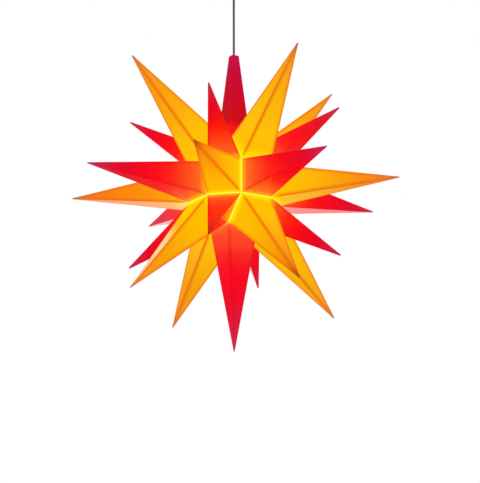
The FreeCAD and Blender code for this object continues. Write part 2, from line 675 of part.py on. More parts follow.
def build_side_screws():
    """Two screws through the cup's side and the strap's ears, each with a square nut behind the ear."""
    screws = []
    nuts = []
    nut_outer = STRAP_LENGTH / 2 - STRAP_THICKNESS - FACE_GAP
    nut_inner = nut_outer - SIDE_NUT_THICKNESS
    for sign in (-1, 1):
        out = Vector(0, sign, 0)
        seat = Vector(0, sign * ROSE_RADIUS, -SIDE_SCREW_LEVEL)
        head = Part.makeCylinder(SIDE_HEAD_RADIUS, SIDE_HEAD_HEIGHT, seat, out)
        shank_start = Vector(0, sign * nut_inner, -SIDE_SCREW_LEVEL)
        shank = Part.makeCylinder(SIDE_SCREW_RADIUS, ROSE_RADIUS - nut_inner, shank_start, out)
        screws.append(head.fuse(shank).removeSplitter())
        low = -nut_outer if sign < 0 else nut_inner
        corner = Vector(-SIDE_NUT_HALF, low, -SIDE_SCREW_LEVEL - SIDE_NUT_HALF)
        nut = Part.makeBox(2 * SIDE_NUT_HALF, SIDE_NUT_THICKNESS, 2 * SIDE_NUT_HALF, corner)
        bore_start = Vector(0, -ROSE_RADIUS, -SIDE_SCREW_LEVEL)
        bore_radius = SIDE_SCREW_RADIUS + GRIP_CLEARANCE
        nuts.append(nut.cut(Part.makeCylinder(bore_radius, 2 * ROSE_RADIUS, bore_start, Vector(0, 1, 0))))
    save("side_screws", group(screws))
    save("side_nuts", group(nuts))


def build_cord_grip():
    """A nylon grip: stem through the rose's floor, collar, tapered nose and a flared mouth for the swinging cord."""
    bore = CORD_RADIUS + GRIP_CLEARANCE
    collar_low = -ROSE_HEIGHT - GRIP_COLLAR_HEIGHT
    save("cord_grip", turned([
        (bore, FLOOR_TOP + GRIP_STEM_RISE),
        (GRIP_STEM_RADIUS, FLOOR_TOP + GRIP_STEM_RISE),
        (GRIP_STEM_RADIUS, -ROSE_HEIGHT),
        (GRIP_COLLAR_RADIUS, -ROSE_HEIGHT),
        (GRIP_COLLAR_RADIUS, collar_low),
        (GRIP_NOSE_RADIUS, GRIP_END),
        (GRIP_MOUTH_RADIUS, GRIP_END),
        (CORD_RADIUS + CORD_CLEARANCE, GRIP_END + GRIP_MOUTH_DEPTH),
        (bore, GRIP_END + GRIP_MOUTH_DEPTH),
    ]))
    save("grip_nut", hex_nut(ROSE_NUT_HALF, GRIP_STEM_RADIUS + GRIP_CLEARANCE, FLOOR_TOP, ROSE_NUT_HEIGHT))


def build_terminal_block():
    """A two-way block on the rose's floor, its four screws upwards, with a pocket for the lead."""
    corner = Vector(BLOCK_START, -BLOCK_WIDTH / 2, FLOOR_TOP)
    block = Part.makeBox(BLOCK_LENGTH, BLOCK_WIDTH, BLOCK_HEIGHT, corner)
    pocket_start = Vector(BLOCK_START - OVERRUN, 0, LEAD_LEVEL)
    pocket_radius = CORD_RADIUS + CORD_CLEARANCE
    pocket = Part.makeCylinder(pocket_radius, BLOCK_POCKET + OVERRUN, pocket_start, Vector(1, 0, 0))
    save("terminal_block", block.cut(pocket))
    screws = []
    for x_share in (0.25, 0.75):
        for y_share in (-0.25, 0.25):
            place = Vector(BLOCK_START + x_share * BLOCK_LENGTH, y_share * BLOCK_WIDTH, FLOOR_TOP + BLOCK_HEIGHT)
            screws.append(Part.makeCylinder(TERMINAL_SCREW_RADIUS, TERMINAL_SCREW_HEIGHT, place))
    save("terminal_screws", group(screws))


build_points()
build_clips()
build_carrier()
build_lamp_bracket()
build_holder()
build_lamp()
build_cord()
build_rose()
build_strap()
build_side_screws()
build_cord_grip()
build_rose_lead()
build_terminal_block()
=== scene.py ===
import math

import bmesh
import bpy
from mathutils import Matrix, Vector


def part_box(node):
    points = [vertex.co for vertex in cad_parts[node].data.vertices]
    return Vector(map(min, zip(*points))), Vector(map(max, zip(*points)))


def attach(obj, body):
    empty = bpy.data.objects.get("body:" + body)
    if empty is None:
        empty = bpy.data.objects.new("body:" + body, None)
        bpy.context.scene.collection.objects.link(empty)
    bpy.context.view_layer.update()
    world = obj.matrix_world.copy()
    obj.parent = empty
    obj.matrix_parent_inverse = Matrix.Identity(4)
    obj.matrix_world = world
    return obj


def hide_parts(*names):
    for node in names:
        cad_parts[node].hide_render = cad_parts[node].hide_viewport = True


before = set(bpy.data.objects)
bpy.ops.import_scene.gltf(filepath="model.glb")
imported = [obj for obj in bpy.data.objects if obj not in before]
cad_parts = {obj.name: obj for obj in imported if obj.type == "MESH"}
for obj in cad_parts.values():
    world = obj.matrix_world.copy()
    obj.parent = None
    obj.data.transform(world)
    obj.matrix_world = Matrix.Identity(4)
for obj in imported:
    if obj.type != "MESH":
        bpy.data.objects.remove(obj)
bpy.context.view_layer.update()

# ---------------------------------------------------------------- camera
# The star is seen from a metre below its own height and well to one side, through a long lens.
# It hangs above and a little left of the middle of the frame.
STAR_CENTRE = Vector((0, 0, -0.282))
SIGHT_DISTANCE = 3.724
SIGHT_AZIMUTH = math.radians(58.13)
SIGHT_ELEVATION = math.radians(-16.25)
SIGHT_ROLL = math.radians(-0.10)
FOCAL_PIXELS = 3124.3
FRAME_WIDTH = 480
FRAME_HEIGHT = 483
STAR_PIXEL = (234.06, 187.99)  # where the star's centre lies in the frame
SENSOR_WIDTH = 36.0

sight = Vector((
    math.sin(SIGHT_AZIMUTH) * math.cos(SIGHT_ELEVATION),
    -math.cos(SIGHT_AZIMUTH) * math.cos(SIGHT_ELEVATION),
    math.sin(SIGHT_ELEVATION),
))
rightward = Vector((0, 0, 1)).cross(sight).normalized()
upward = sight.cross(rightward)
per_pixel = SIGHT_DISTANCE / FOCAL_PIXELS
aim = (
    STAR_CENTRE
    + rightward * (FRAME_WIDTH / 2 - STAR_PIXEL[0]) * per_pixel
    - upward * (FRAME_HEIGHT / 2 - STAR_PIXEL[1]) * per_pixel
)
stand = STAR_CENTRE + sight * SIGHT_DISTANCE
gaze = (aim - stand).to_track_quat("-Z", "Y").to_matrix()

lens = bpy.data.cameras.new("camera")
lens.sensor_width = SENSOR_WIDTH
lens.lens = FOCAL_PIXELS / max(FRAME_WIDTH, FRAME_HEIGHT) * SENSOR_WIDTH
camera = bpy.data.objects.new("camera", lens)
camera.location = stand
camera.rotation_euler = (gaze @ Matrix.Rotation(SIGHT_ROLL, 3, "Z")).to_euler()
bpy.context.scene.collection.objects.link(camera)
bpy.context.scene.camera = camera


# ---------------------------------------------------------------- cords
# A thin grey two-core cord hangs taut from the nylon grip of the ceiling rose to the star. It is gripped at
# both ends, and only the 80 mm between them is free. It goes on inside the rose and inside the star.
CORD_DIAMETER = 0.0028
CORD_ROUTE = [(0, 0, -0.1175), (0, 0, -0.1007), (0, 0, -0.077), (0, 0, -0.0538), (0, 0, -0.0370)]
SHEATH_COLOUR = (0.178, 0.160, 0.180)
SHEATH_WORN = (0.245, 0.225, 0.247)


class Flow:
    """A socket among a material's nodes. Arithmetic on it adds Math nodes, and node() adds any other node."""

    def __init__(self, tree, socket=None):
        self.tree = tree
        self.socket = socket

    def node(self, kind, settings=None, values=None, output=0):
        """Adds a node: its settings are set first, then the values or links of its sockets."""
        made = self.tree.nodes.new(kind)
        for key, value in (settings or {}).items():
            if key == "stops":
                ramp = made.color_ramp
                while len(ramp.elements) > 1:
                    ramp.elements.remove(ramp.elements[-1])
                for i, (place, colour) in enumerate(value):
                    stop = ramp.elements[0] if i == 0 else ramp.elements.new(place)
                    stop.position = place
                    stop.color = (*colour, 1.0)
            else:
                setattr(made, key, value)
        for key, value in (values or {}).items():
            if isinstance(value, Flow):
                self.tree.links.new(value.socket, made.inputs[key])
            else:
                made.inputs[key].default_value = value
        return Flow(self.tree, made.outputs[output] if made.outputs else None)

    def other(self, output):
        return Flow(self.tree, self.socket.node.outputs[output])

    def maths(self, operation, first, second, hold=False):
        return self.node("ShaderNodeMath", {"operation": operation, "use_clamp": hold}, {0: first, 1: second})

    def __add__(self, other):
        return self.maths("ADD", self, other)

    __radd__ = __add__

    def __sub__(self, other):
        return self.maths("SUBTRACT", self, other)

    def __rsub__(self, other):
        return self.maths("SUBTRACT", other, self)

    def __mul__(self, other):
        return self.maths("MULTIPLY", self, other)

    __rmul__ = __mul__

    def __truediv__(self, other):
        return self.maths("DIVIDE", self, other)

    def __pow__(self, other):
        return self.maths("POWER", self, other)

    def larger(self, other):
        return self.maths("MAXIMUM", self, other)

    def smaller(self, other):
        return self.maths("MINIMUM", self, other)

    def held(self):
        """The value, kept between 0 and 1."""
        return self.maths("ADD", self, 0.0, hold=True)

    def fading(self, reach):
        """1 where the value is 0, falling to 0 at reach."""
        return self.maths("SUBTRACT", 1.0, self / reach, hold=True)

    def between(self, low, high):
        """0 below low and 1 above high, with a soft rise."""
        limits = {"Value": self, "From Min": low, "From Max": high}
        return self.node("ShaderNodeMapRange", {"interpolation_type": "SMOOTHSTEP"}, limits)

    def blend(self, first, second):
        """A colour from first, where this is 0, to second, where it is 1."""
        first = first if isinstance(first, Flow) else (*first, 1.0)
        second = second if isinstance(second, Flow) else (*second, 1.0)
        # A Mix node's colours are its sockets 6 and 7, and the mixed colour is its output 2.
        return self.node("ShaderNodeMix", {"data_type": "RGBA"}, {0: self, 6: first, 7: second}, 2)

    def times(self, amount):
        """A colour made stronger or weaker by an amount."""
        return self.node("ShaderNodeVectorMath", {"operation": "SCALE"}, {0: self, "Scale": amount})

    def uneven(self, depth):
        """A factor round 1: a value between 0 and 1 makes it half of depth less to half of depth more."""
        return 1.0 + depth * (self - 0.5)

    def stretched(self, stretch):
        """A place, so scaled along X, Y and Z that a pattern on it is stretched."""
        return self.node("ShaderNodeMapping", None, {"Vector": self, "Scale": stretch})

    def speckle(self, scale, detail=2.0):
        """Soft noise at this place."""
        return self.node("ShaderNodeTexNoise", None, {"Vector": self, "Scale": scale, "Detail": detail})

    def dents(self, strength, height):
        """A surface that this value dents, by a height in metres."""
        return self.node("ShaderNodeBump", None, {"Height": self, "Strength": strength, "Distance": height})

    def ramp(self, stops):
        """A colour read from stops, at this value held between 0 and 1."""
        return self.node("ShaderNodeValToRGB", {"stops": stops}, {0: self.held()})


def new_material(name):
    material = bpy.data.materials.new(name)
    material.use_nodes = True
    material.node_tree.nodes.clear()
    return material, Flow(material.node_tree)


def finished(flow, values):
    """Puts a Principled shader with these values on the material's surface."""
    surface = flow.node("ShaderNodeBsdfPrincipled", None, values)
    flow.node("ShaderNodeOutputMaterial", None, {"Surface": surface})


def object_place(flow):
    return flow.node("ShaderNodeTexCoord", output="Object")


def mottled(name, colours, patches, gloss, pits, rise=None):
    """A skin with soft patches of two colours and fine pits all over. patches holds the noise's scale and
    detail, gloss the least roughness and what the patches add to it, and pits the scale, strength and height
    of the dents. rise is the part of the noise over which one colour gives way to the other."""
    material, flow = new_material(name)
    place = object_place(flow)
    cloud = place.speckle(*patches)
    mask = cloud.between(*rise) if rise else cloud
    pit_scale, pit_strength, pit_height = pits
    least_rough, rough_spread = gloss
    finished(flow, {
        "Base Color": mask.blend(*colours),
        "Roughness": least_rough + rough_spread * cloud,
        "Normal": place.speckle(pit_scale).dents(pit_strength, pit_height),
    })
    return material


def clad(names, material):
    """Gives CAD nodes a better material."""
    for name in names:
        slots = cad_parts[name].data.materials
        slots.clear()
        slots.append(material)


sheath = mottled(
    "cord_sheath", (SHEATH_COLOUR, SHEATH_WORN), patches=(90.0, 4.0), gloss=(0.42, 0.2),
    pits=(1400.0, 0.12, 0.0004), rise=(0.45, 0.75),
)
line = bpy.data.curves.new("hanging_cord", "CURVE")
line.dimensions = "3D"
run = line.splines.new("NURBS")
run.points.add(len(CORD_ROUTE) - 1)
for point, where in zip(run.points, CORD_ROUTE):
    point.co = (*where, 1)
run.order_u = 3
run.use_endpoint_u = True
run.resolution_u = 8
line.bevel_depth = CORD_DIAMETER / 2
line.bevel_resolution = 6
line.use_fill_caps = True
line.materials.append(sheath)
hanging_cord = bpy.data.objects.new("hanging_cord", line)
bpy.context.scene.collection.objects.link(hanging_cord)
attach(hanging_cord, "cord")
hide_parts("pendant_cord")
clad(["lamp_lead", "rose_lead"], sheath)


# ---------------------------------------------------------------- the yellow points
# Twelve hollow four-sided points, moulded in thin translucent yellow plastic and clipped together by their
# flanges. The lamp shines through them, brightest at the seams and darker along the ridges: that light is
# painted on as glow. The middle row's painted glow is more orange towards its tips, and single points have
# their own painted glow: one dimmer, one brighter, one paler at the seam and two browner at the tip.
SEAM_FOUR = 0.0497  # centre of the star to the foot of a four-sided point
LONG_REACH = 0.200  # and to its tip
EDGE_ROUNDING = 0.00035
LONG_EDGE = 0.09  # only a ridge is longer than this
RIDGE_TURN = 0.3  # a ridge's two walls turn from each other by more than this, in radians
FLAT_TURN = math.radians(1)  # triangles that turn less than this are one wall
MERGE_REACH = 1e-6  # corners nearer than this are one corner
YELLOW_GLOW = [
    (0.00, (0.76, 0.520, 0.000)),
    (0.08, (0.72, 0.460, 0.000)),
    (0.22, (0.70, 0.428, 0.000)),
    (0.42, (0.70, 0.335, 0.000)),
    (0.62, (0.70, 0.262, 0.000)),
    (0.82, (0.68, 0.255, 0.014)),
    (0.90, (0.62, 0.215, 0.020)),
    (0.95, (0.58, 0.165, 0.024)),
    (1.00, (0.16, 0.140, 0.120)),
]
YELLOW_MIDDLE_GLOW = [
    (0.00, (0.76, 0.520, 0.000)),
    (0.08, (0.72, 0.460, 0.000)),
    (0.20, (0.70, 0.415, 0.000)),
    (0.32, (0.70, 0.370, 0.000)),
    (0.52, (0.70, 0.265, 0.000)),
    (0.72, (0.70, 0.190, 0.002)),
    (0.86, (0.64, 0.170, 0.014)),
    (0.94, (0.52, 0.170, 0.040)),
    (1.00, (0.20, 0.150, 0.110)),
]
YELLOW_DEEP_GLOW = [
    (0.00, (0.76, 0.500, 0.000)),
    (0.10, (0.72, 0.440, 0.000)),
    (0.20, (0.70, 0.265, 0.000)),
    (0.30, (0.70, 0.212, 0.000)),
    (0.50, (0.70, 0.165, 0.000)),
    (0.72, (0.70, 0.132, 0.002)),
    (0.86, (0.64, 0.130, 0.014)),
    (0.94, (0.52, 0.140, 0.034)),
    (1.00, (0.24, 0.105, 0.050)),
]
YELLOW_BRIGHT_GLOW = YELLOW_GLOW[:3] + [
    (0.42, (0.70, 0.410, 0.000)),
    (0.62, (0.70, 0.335, 0.000)),
    (0.82, (0.70, 0.300, 0.014)),
    (0.90, (0.63, 0.240, 0.020)),
    (0.95, (0.58, 0.180, 0.024)),
    (1.00, (0.16, 0.140, 0.120)),
]
YELLOW_LEMON_GLOW = [
    (0.00, (0.74, 0.680, 0.000)),
    (0.05, (0.69, 0.580, 0.000)),
    (0.11, (0.70, 0.450, 0.000)),
    (0.22, (0.70, 0.455, 0.000)),
] + YELLOW_BRIGHT_GLOW[3:]
# Glow for two points that browns towards the tip: painted light, dimmer where the tip takes less of the lamp.
BROWN_TIP_GLOW = [
    (0.80, (0.68, 0.176, 0.000)),
    (0.87, (0.56, 0.112, 0.000)),
    (0.92, (0.46, 0.035, 0.000)),
    (1.00, (0.20, 0.014, 0.000)),
]
# The plastic's own colour, made darker towards the tip as painted shade where less of the lamp's light
# reaches; one ramp ends at a dark grey tip.
YELLOW_OWN_AND_SHADE = [
    (0.00, (0.44, 0.200, 0.001)),
    (0.60, (0.42, 0.160, 0.001)),
    (1.00, (0.36, 0.100, 0.002)),
]
YELLOW_OWN_AND_SHADE_GREY_TIP = YELLOW_OWN_AND_SHADE[:2] + [
    (0.93, (0.38, 0.110, 0.002)),
    (1.00, (0.06, 0.055, 0.050)),
]
YELLOW_RIDGE = (0.70, 0.092, 0.000)
# The glow painted where the seams let the lamp's light through brightest.
YELLOW_SEAM_GLOW = (0.84, 0.760, 0.002)
YELLOW_RIDGE_DEPTH = 1.0
WALL_SHINE = 0.15  # the moulded skin is smooth but not bright
WALL_ROUGHNESS = 0.15
CREASE_REACH = 0.0050  # how far from a ridge its darker line fades out
CREASE_FALL = 1.5  # how steeply it does
CREASE_SHADE = 0.06  # how much less light the line lets through, whatever its colour
CREASE_TONE = 0.3  # how much darker the unlit plastic is there
SLOW_PALING = 0.45  # share of the line that is lost along the point
QUICK_PALING = 0.55  # share of it that is lost only near the tip
SEAM_START = -0.0010  # where its brightness begins to fade, from the seam along the wall
SEAM_REACH = 0.0118  # and where it has faded out
SEAM_LINE = 0.0022  # the brightest edge of the wall, at the seam
SEAM_LIGHT = (0.90, 0.88, 0.05)
CLOUD_SCALE = 28.0  # of the slow unevenness of a wall
CLOUD_DEPTH = 0.06  # how much it varies the light
CLOUD_SHIFT = 0.10  # how far it moves the colours, as a share of the point
GRAIN_SCALE = 260.0  # of the fine unevenness of the moulded skin
GRAIN_DEPTH = 0.12  # how much it varies the plastic's colour
GRAIN_ROUGHNESS = 0.08
GRAIN_STRENGTH = 0.05
GRAIN_HEIGHT = 0.0005
ROOT_TWO = math.sqrt(2)
SIDES = ("right", "back", "left", "front")
CORNERS = ("front_right", "back_right", "back_left", "front_left")


def settled(shape, name, body, material):
    """The finished bmesh as a piece that rides on its body."""
    mesh = bpy.data.meshes.new(name)
    shape.to_mesh(mesh)
    shape.free()
    piece = bpy.data.objects.new(name, mesh)
    bpy.context.scene.collection.objects.link(piece)
    mesh.materials.append(material)
    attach(piece, body)
    return piece


def moulded(node, body, material):
    """A copy of a point's CAD mesh, joined up, its ridges slightly rounded as they leave the mould."""
    shape = bmesh.new()
    shape.from_mesh(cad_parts[node].data)
    bmesh.ops.remove_doubles(shape, verts=shape.verts, dist=MERGE_REACH)
    bmesh.ops.dissolve_limit(shape, angle_limit=FLAT_TURN, verts=shape.verts, edges=shape.edges)
    ridges = [
        edge for edge in shape.edges
        if edge.calc_length() > LONG_EDGE and edge.calc_face_angle_signed(0) > RIDGE_TURN
    ]
    bmesh.ops.bevel(
        shape, geom=ridges, offset=EDGE_ROUNDING, offset_type="OFFSET", segments=2, profile=0.5,
        affect="EDGES", material=-1, clamp_overlap=True,
    )
    piece = settled(shape, f"{node}_moulding", body, material)
    piece.data.attributes.remove(piece.data.attributes["custom_normal"])
    piece.data.shade_flat()
    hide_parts(node)


def from_centre(flow):
    """The way from the star's centre along X, Y and Z."""
    centre = {0: object_place(flow), 1: STAR_CENTRE}
    return flow.node("ShaderNodeVectorMath", {"operation": "SUBTRACT"}, centre)


def sorted_place(flow):
    """Place round the star's centre, without its signs, as its largest, middle and smallest part."""
    size = flow.node("ShaderNodeVectorMath", {"operation": "ABSOLUTE"}, {0: from_centre(flow)})
    x = flow.node("ShaderNodeSeparateXYZ", None, {0: size}, "X")
    y = x.other("Y")
    z = x.other("Z")
    most = x.larger(y).larger(z)
    least = x.smaller(y).smaller(z)
    return most, x + y + z - most - least, least


def between_axes(flow):
    """How far along a point between two of the star's axes, and how far from its nearest ridge."""
    most, middle, least = sorted_place(flow)
    across = (most - middle) / ROOT_TWO - least
    return (most + middle) / ROOT_TWO, flow.node("ShaderNodeMath", {"operation": "ABSOLUTE"}, {0: across})


def skinned(flow, grain, plastic, lit):
    """The skin of a lit wall: its plastic takes the room's light, and the lamp's light comes on top."""
    finished(flow, {
        "Base Color": plastic, "Roughness": WALL_ROUGHNESS + GRAIN_ROUGHNESS * grain,
        "Normal": grain.dents(GRAIN_STRENGTH, GRAIN_HEIGHT), "Specular IOR Level": WALL_SHINE,
        "Emission Color": lit, "Emission Strength": 1.0,
    })


def lit_walls(name, form, seam, tip, glow, own, ridge_colour, ridge_depth, seam_glow):
    """A lit point's plastic. form says how far along the point a place is and how far from a ridge. glow is
    the light that comes through from the seam to the tip, and own the plastic's unlit colour, which darkens
    towards the tip as painted shade."""
    material, flow = new_material(name)
    reach, ridge = form(flow)
    along = reach - seam
    place = object_place(flow)
    cloud = place.speckle(CLOUD_SCALE, 3.0)
    grain = place.speckle(GRAIN_SCALE)
    share = along / (tip - seam) + (cloud - 0.5) * CLOUD_SHIFT
    crease = ridge.fading(CREASE_REACH) ** CREASE_FALL
    paling = SLOW_PALING * share.held() ** 4.0 + QUICK_PALING * share.held() ** 16.0
    lit = (crease * ridge_depth * (1.0 - paling)).blend(share.ramp(glow), ridge_colour)
    lit = (1.0 - along.between(SEAM_START, SEAM_REACH)).blend(lit, seam_glow)
    lit = along.larger(0.0).fading(SEAM_LINE).blend(lit, SEAM_LIGHT)
    lit = lit.times(cloud.uneven(CLOUD_DEPTH) * (1.0 - CREASE_SHADE * crease))
    plastic = share.ramp(own).times(grain.uneven(GRAIN_DEPTH) * (1.0 - CREASE_TONE * ridge_depth * crease))
    skinned(flow, grain, plastic, lit)
    return material


def yellow_walls(name, glow, own=YELLOW_OWN_AND_SHADE_GREY_TIP):
    return lit_walls(
        name, between_axes, SEAM_FOUR, LONG_REACH, glow, own, YELLOW_RIDGE, YELLOW_RIDGE_DEPTH, YELLOW_SEAM_GLOW
    )


yellow_plastic = yellow_walls("yellow_plastic", YELLOW_GLOW)
yellow_middle = yellow_walls("yellow_plastic_middle", YELLOW_MIDDLE_GLOW)
# Single points get more or less of the lamp's light painted into their glow.
yellow_single = {
    "front_left": yellow_walls("yellow_plastic_deep_glow", YELLOW_DEEP_GLOW),
    "upper_right": yellow_walls("yellow_plastic_lemon_glow", YELLOW_LEMON_GLOW),
    "lower_back": yellow_walls("yellow_plastic_bright_glow", YELLOW_BRIGHT_GLOW),
    "lower_right": yellow_walls("yellow_plastic_brown_tip_glow", YELLOW_GLOW[:5] + BROWN_TIP_GLOW, YELLOW_OWN_AND_SHADE),
    "front_right": yellow_walls(
        "yellow_plastic_middle_brown_tip_glow", YELLOW_MIDDLE_GLOW[:6] + BROWN_TIP_GLOW, YELLOW_OWN_AND_SHADE
    ),
}
for spot in [f"{level}_{side}" for level in ("upper", "lower") for side in SIDES]:
    plastic = yellow_single.get(spot, yellow_plastic)
    moulded(f"yellow_point_{spot}", "star", plastic)
for spot in CORNERS:
    plastic = yellow_single.get(spot, yellow_middle)
    moulded(f"yellow_point_{spot}", "star", plastic)


# ---------------------------------------------------------------- the red points
# Five four-sided points and eight short three-sided ones, moulded and clipped as the yellow ones are. Red
# plastic lets less light through, so its tips are crimson and only the first few millimetres go orange.
# The glow painted on them differs: the bottom point's is redder at its foot, one short point's is warmer
# and one short point's darkens at the tip as painted shade.
SEAM_THREE = 0.0525  # centre of the star to the foot of a three-sided point
SHORT_REACH = 0.1575  # and to its tip
SHORT_CRIMSON = 0.95 * SHORT_REACH  # where a short point's glow has its last colour
RED_GLOW = [
    (0.00, (0.78, 0.150, 0.014)),
    (0.08, (0.76, 0.120, 0.012)),
    (0.15, (0.75, 0.076, 0.009)),
    (0.22, (0.74, 0.042, 0.007)),
    (0.30, (0.74, 0.013, 0.005)),
    (0.42, (0.75, 0.002, 0.004)),
    (0.58, (0.68, 0.000, 0.006)),
    (0.72, (0.57, 0.000, 0.014)),
    (0.82, (0.50, 0.004, 0.034)),
    (0.90, (0.44, 0.014, 0.054)),
    (1.00, (0.34, 0.022, 0.060)),
]
RED_BOTTOM_GLOW = [
    (0.00, (0.76, 0.075, 0.020)),
    (0.08, (0.74, 0.062, 0.020)),
    (0.15, (0.74, 0.048, 0.016)),
    (0.22, (0.74, 0.020, 0.012)),
    (0.30, (0.74, 0.006, 0.010)),
    (0.42, (0.75, 0.000, 0.010)),
    (0.58, (0.68, 0.001, 0.014)),
    (0.72, (0.57, 0.004, 0.024)),
    (0.82, (0.51, 0.010, 0.040)),
    (0.90, (0.46, 0.020, 0.060)),
    (1.00, (0.38, 0.030, 0.080)),
]
RED_SHORT_GLOW = [
    (0.00, (0.78, 0.110, 0.014)),
    (0.08, (0.76, 0.080, 0.012)),
    (0.15, (0.75, 0.055, 0.009)),
    (0.22, (0.74, 0.030, 0.007)),
    (0.30, (0.74, 0.010, 0.005)),
    (0.42, (0.75, 0.003, 0.004)),
    (0.58, (0.68, 0.000, 0.004)),
    (0.72, (0.60, 0.000, 0.008)),
    (0.82, (0.56, 0.002, 0.018)),
    (0.90, (0.53, 0.008, 0.026)),
    (1.00, (0.42, 0.016, 0.040)),
]
RED_WARM_GLOW = [
    (0.00, (0.78, 0.110, 0.014)),
    (0.08, (0.76, 0.100, 0.012)),
    (0.15, (0.75, 0.092, 0.009)),
    (0.22, (0.74, 0.078, 0.007)),
    (0.30, (0.74, 0.044, 0.003)),
    (0.42, (0.75, 0.012, 0.000)),
    (0.58, (0.70, 0.000, 0.000)),
]
# Glow for one short point that darkens towards its tip: painted shade.
SHADED_TIP_GLOW = [
    (0.42, (0.73, 0.000, 0.000)),
    (0.72, (0.58, 0.000, 0.000)),
    (1.00, (0.26, 0.000, 0.000)),
]
# The red plastic's own colour, made darker and bluer towards the tip as painted shade.
RED_OWN_AND_SHADE = [
    (0.00, (0.36, 0.003, 0.005)),
    (0.60, (0.34, 0.001, 0.008)),
    (1.00, (0.30, 0.002, 0.022)),
]
RED_RIDGE = (0.68, 0.000, 0.008)
RED_RIDGE_DEPTH = 0.6
# The red glow painted at the seams, where the flanges let most light through.
RED_SEAM_GLOW = (0.86, 0.440, 0.014)
RED_BOTTOM_SEAM_GLOW = (0.80, 0.160, 0.024)


def on_axis(flow):
    """How far along a point on one of the star's axes, and how far from its nearest ridge."""
    most, middle, least = sorted_place(flow)
    return most, middle - least


def in_corner(flow):
    """How far along a point between three of the star's axes, and how far from its nearest ridge."""
    most, middle, least = sorted_place(flow)
    return (most + middle + least) / math.sqrt(3), (middle - least) * ROOT_TWO


def red_walls(name, form, seam, tip, glow, seam_glow=RED_SEAM_GLOW):
    return lit_walls(name, form, seam, tip, glow, RED_OWN_AND_SHADE, RED_RIDGE, RED_RIDGE_DEPTH, seam_glow)


red_long = red_walls("red_plastic_long", on_axis, SEAM_FOUR, LONG_REACH, RED_GLOW)
red_bottom = red_walls(
    "red_plastic_bottom", on_axis, SEAM_FOUR, LONG_REACH, RED_BOTTOM_GLOW, RED_BOTTOM_SEAM_GLOW
)
for side in SIDES:
    moulded(f"red_point_{side}", "star", red_long)
moulded("red_point_bottom", "star", red_bottom)

red_short = red_walls("red_plastic_short", in_corner, SEAM_THREE, SHORT_CRIMSON, RED_SHORT_GLOW)
red_single = {
    "upper_front_right": red_walls(
        "red_plastic_warm_glow", in_corner, SEAM_THREE, SHORT_CRIMSON, RED_WARM_GLOW + RED_SHORT_GLOW[7:]
    ),
    "lower_front_right": red_walls(
        "red_plastic_shaded_tip_glow", in_corner, SEAM_THREE, SHORT_REACH, RED_SHORT_GLOW[:5] + SHADED_TIP_GLOW
    ),
}
for spot in [f"{level}_{corner}" for level in ("upper", "lower") for corner in CORNERS]:
    moulded(f"small_point_{spot}", "star", red_single.get(spot, red_short))


# ---------------------------------------------------------------- the point that carries the cord
# The red point at the top is moulded with a square end, and the cord passes through its roof. The lampholder
# hangs inside it and keeps the light from its upper part, which is dull crimson above a soft shadow line.
CARRIER_LIT = (0.66, 0.004, 0.003)
CARRIER_DULL = [
    (0.00, (0.34, 0.000, 0.001)),
    (0.45, (0.35, 0.000, 0.017)),
    (0.85, (0.34, 0.001, 0.038)),
    (1.00, (0.34, 0.004, 0.048)),
]
CARRIER_TOP = 0.1654  # above the star's centre, as the heights below are
SEAM_GLOW_TOP = 0.062
SHADOW_HEIGHT = 0.0765  # of the shadow line in the middle of a wall
SHADOW_BELOW = 0.010  # how far below that height the shadow starts
SHADOW_ABOVE = 0.005  # and how far above it is full
SHADOW_RISE = 0.15  # how much the line climbs towards a ridge
SHADOW_WANDER = 0.006
CARRIER_CLOUD_SCALE = 30.0
STREAK_SCALE = 420.0
STREAK_STRETCH = (1, 1, 0.06)  # the streaks run up the walls, as the plastic flowed
STREAK_DEPTH = 0.30
CARRIER_CREASE_REACH = 0.0021
CARRIER_CREASE_DEPTH = 0.25

carrier_plastic, flow = new_material("red_plastic_carrier")
place = object_place(flow)
height = flow.node("ShaderNodeSeparateXYZ", None, {0: from_centre(flow)}, "Z")
most, middle, least = sorted_place(flow)
cloud = place.speckle(CARRIER_CLOUD_SCALE, 3.0)
grain = place.speckle(GRAIN_SCALE)
streaks = place.stretched(STREAK_STRETCH).speckle(STREAK_SCALE)
share = (height - SHADOW_HEIGHT) / (CARRIER_TOP - SHADOW_HEIGHT)
dull = share.ramp(CARRIER_DULL).times(streaks.uneven(STREAK_DEPTH))
bright = height.between(SEAM_FOUR, SEAM_GLOW_TOP).blend(RED_SEAM_GLOW, CARRIER_LIT)
line_height = height - least * SHADOW_RISE + (cloud - 0.5) * SHADOW_WANDER
shadow = line_height.between(SHADOW_HEIGHT - SHADOW_BELOW, SHADOW_HEIGHT + SHADOW_ABOVE)
crease = (middle - least).fading(CARRIER_CREASE_REACH) ** CREASE_FALL * CARRIER_CREASE_DEPTH
lit = crease.blend(shadow.blend(bright, dull), RED_RIDGE)
# Its own colour darkens from the shadow line up to the roof, as painted shade.
skinned(flow, grain, share.ramp(RED_OWN_AND_SHADE).times(grain.uneven(GRAIN_DEPTH)), lit)
moulded("carrier_point", "lamp_unit", carrier_plastic)


# ---------------------------------------------------------------- seam clips
# Forty-four small clips, bent from bright spring strip. Each is pushed over the flanges of two neighbouring
# points inside the star, and its barbs catch in windows of the flanges.
STEEL_COLOUR = (0.76, 0.75, 0.73)
STEEL_TINT = (0.64, 0.60, 0.54)
STEEL_METALLIC = 0.5  # only half, because all but one side of the room is dark in a mirror


